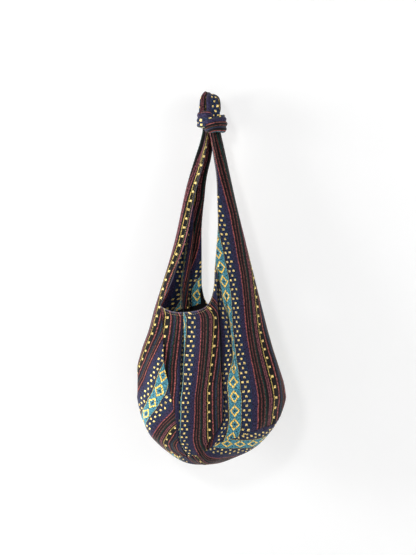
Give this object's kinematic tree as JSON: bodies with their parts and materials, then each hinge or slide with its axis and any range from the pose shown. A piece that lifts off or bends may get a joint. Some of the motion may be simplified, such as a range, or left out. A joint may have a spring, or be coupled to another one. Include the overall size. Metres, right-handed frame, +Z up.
{
  "type": "sling bag",
  "caption": "Slouching woven cotton sling bag with an open mouth, two wide straps cut in one with its panels, and a knotted strap top with a hanging loop.",
  "frame": {"origin": "inside top of the hanging loop, where it bears on what the bag hangs from", "axes": "+Z up, the way the bag hangs; -Y the front, +X to the right as the front is seen"},
  "size_m": [0.3514, 0.1358, 0.896],
  "materials": {
    "outer_weave": "heavy woven cotton with stripes, dots and diamonds along the warp, matt",
    "strap_facing": "the same woven cotton, turned in along the strap edges, matt",
    "lining": "plain black cotton, matt"
  },
  "bodies": {
    "root": {"front_panel": "outer_weave", "back_panel": "outer_weave", "right_strap": "outer_weave", "left_strap": "outer_weave", "base_panel": "outer_weave", "right_strap_facing": "strap_facing", "left_strap_facing": "strap_facing", "front_lining": "lining", "back_lining": "lining", "base_lining": "lining", "strap_knot": "outer_weave"}
  },
  "joints": []
}
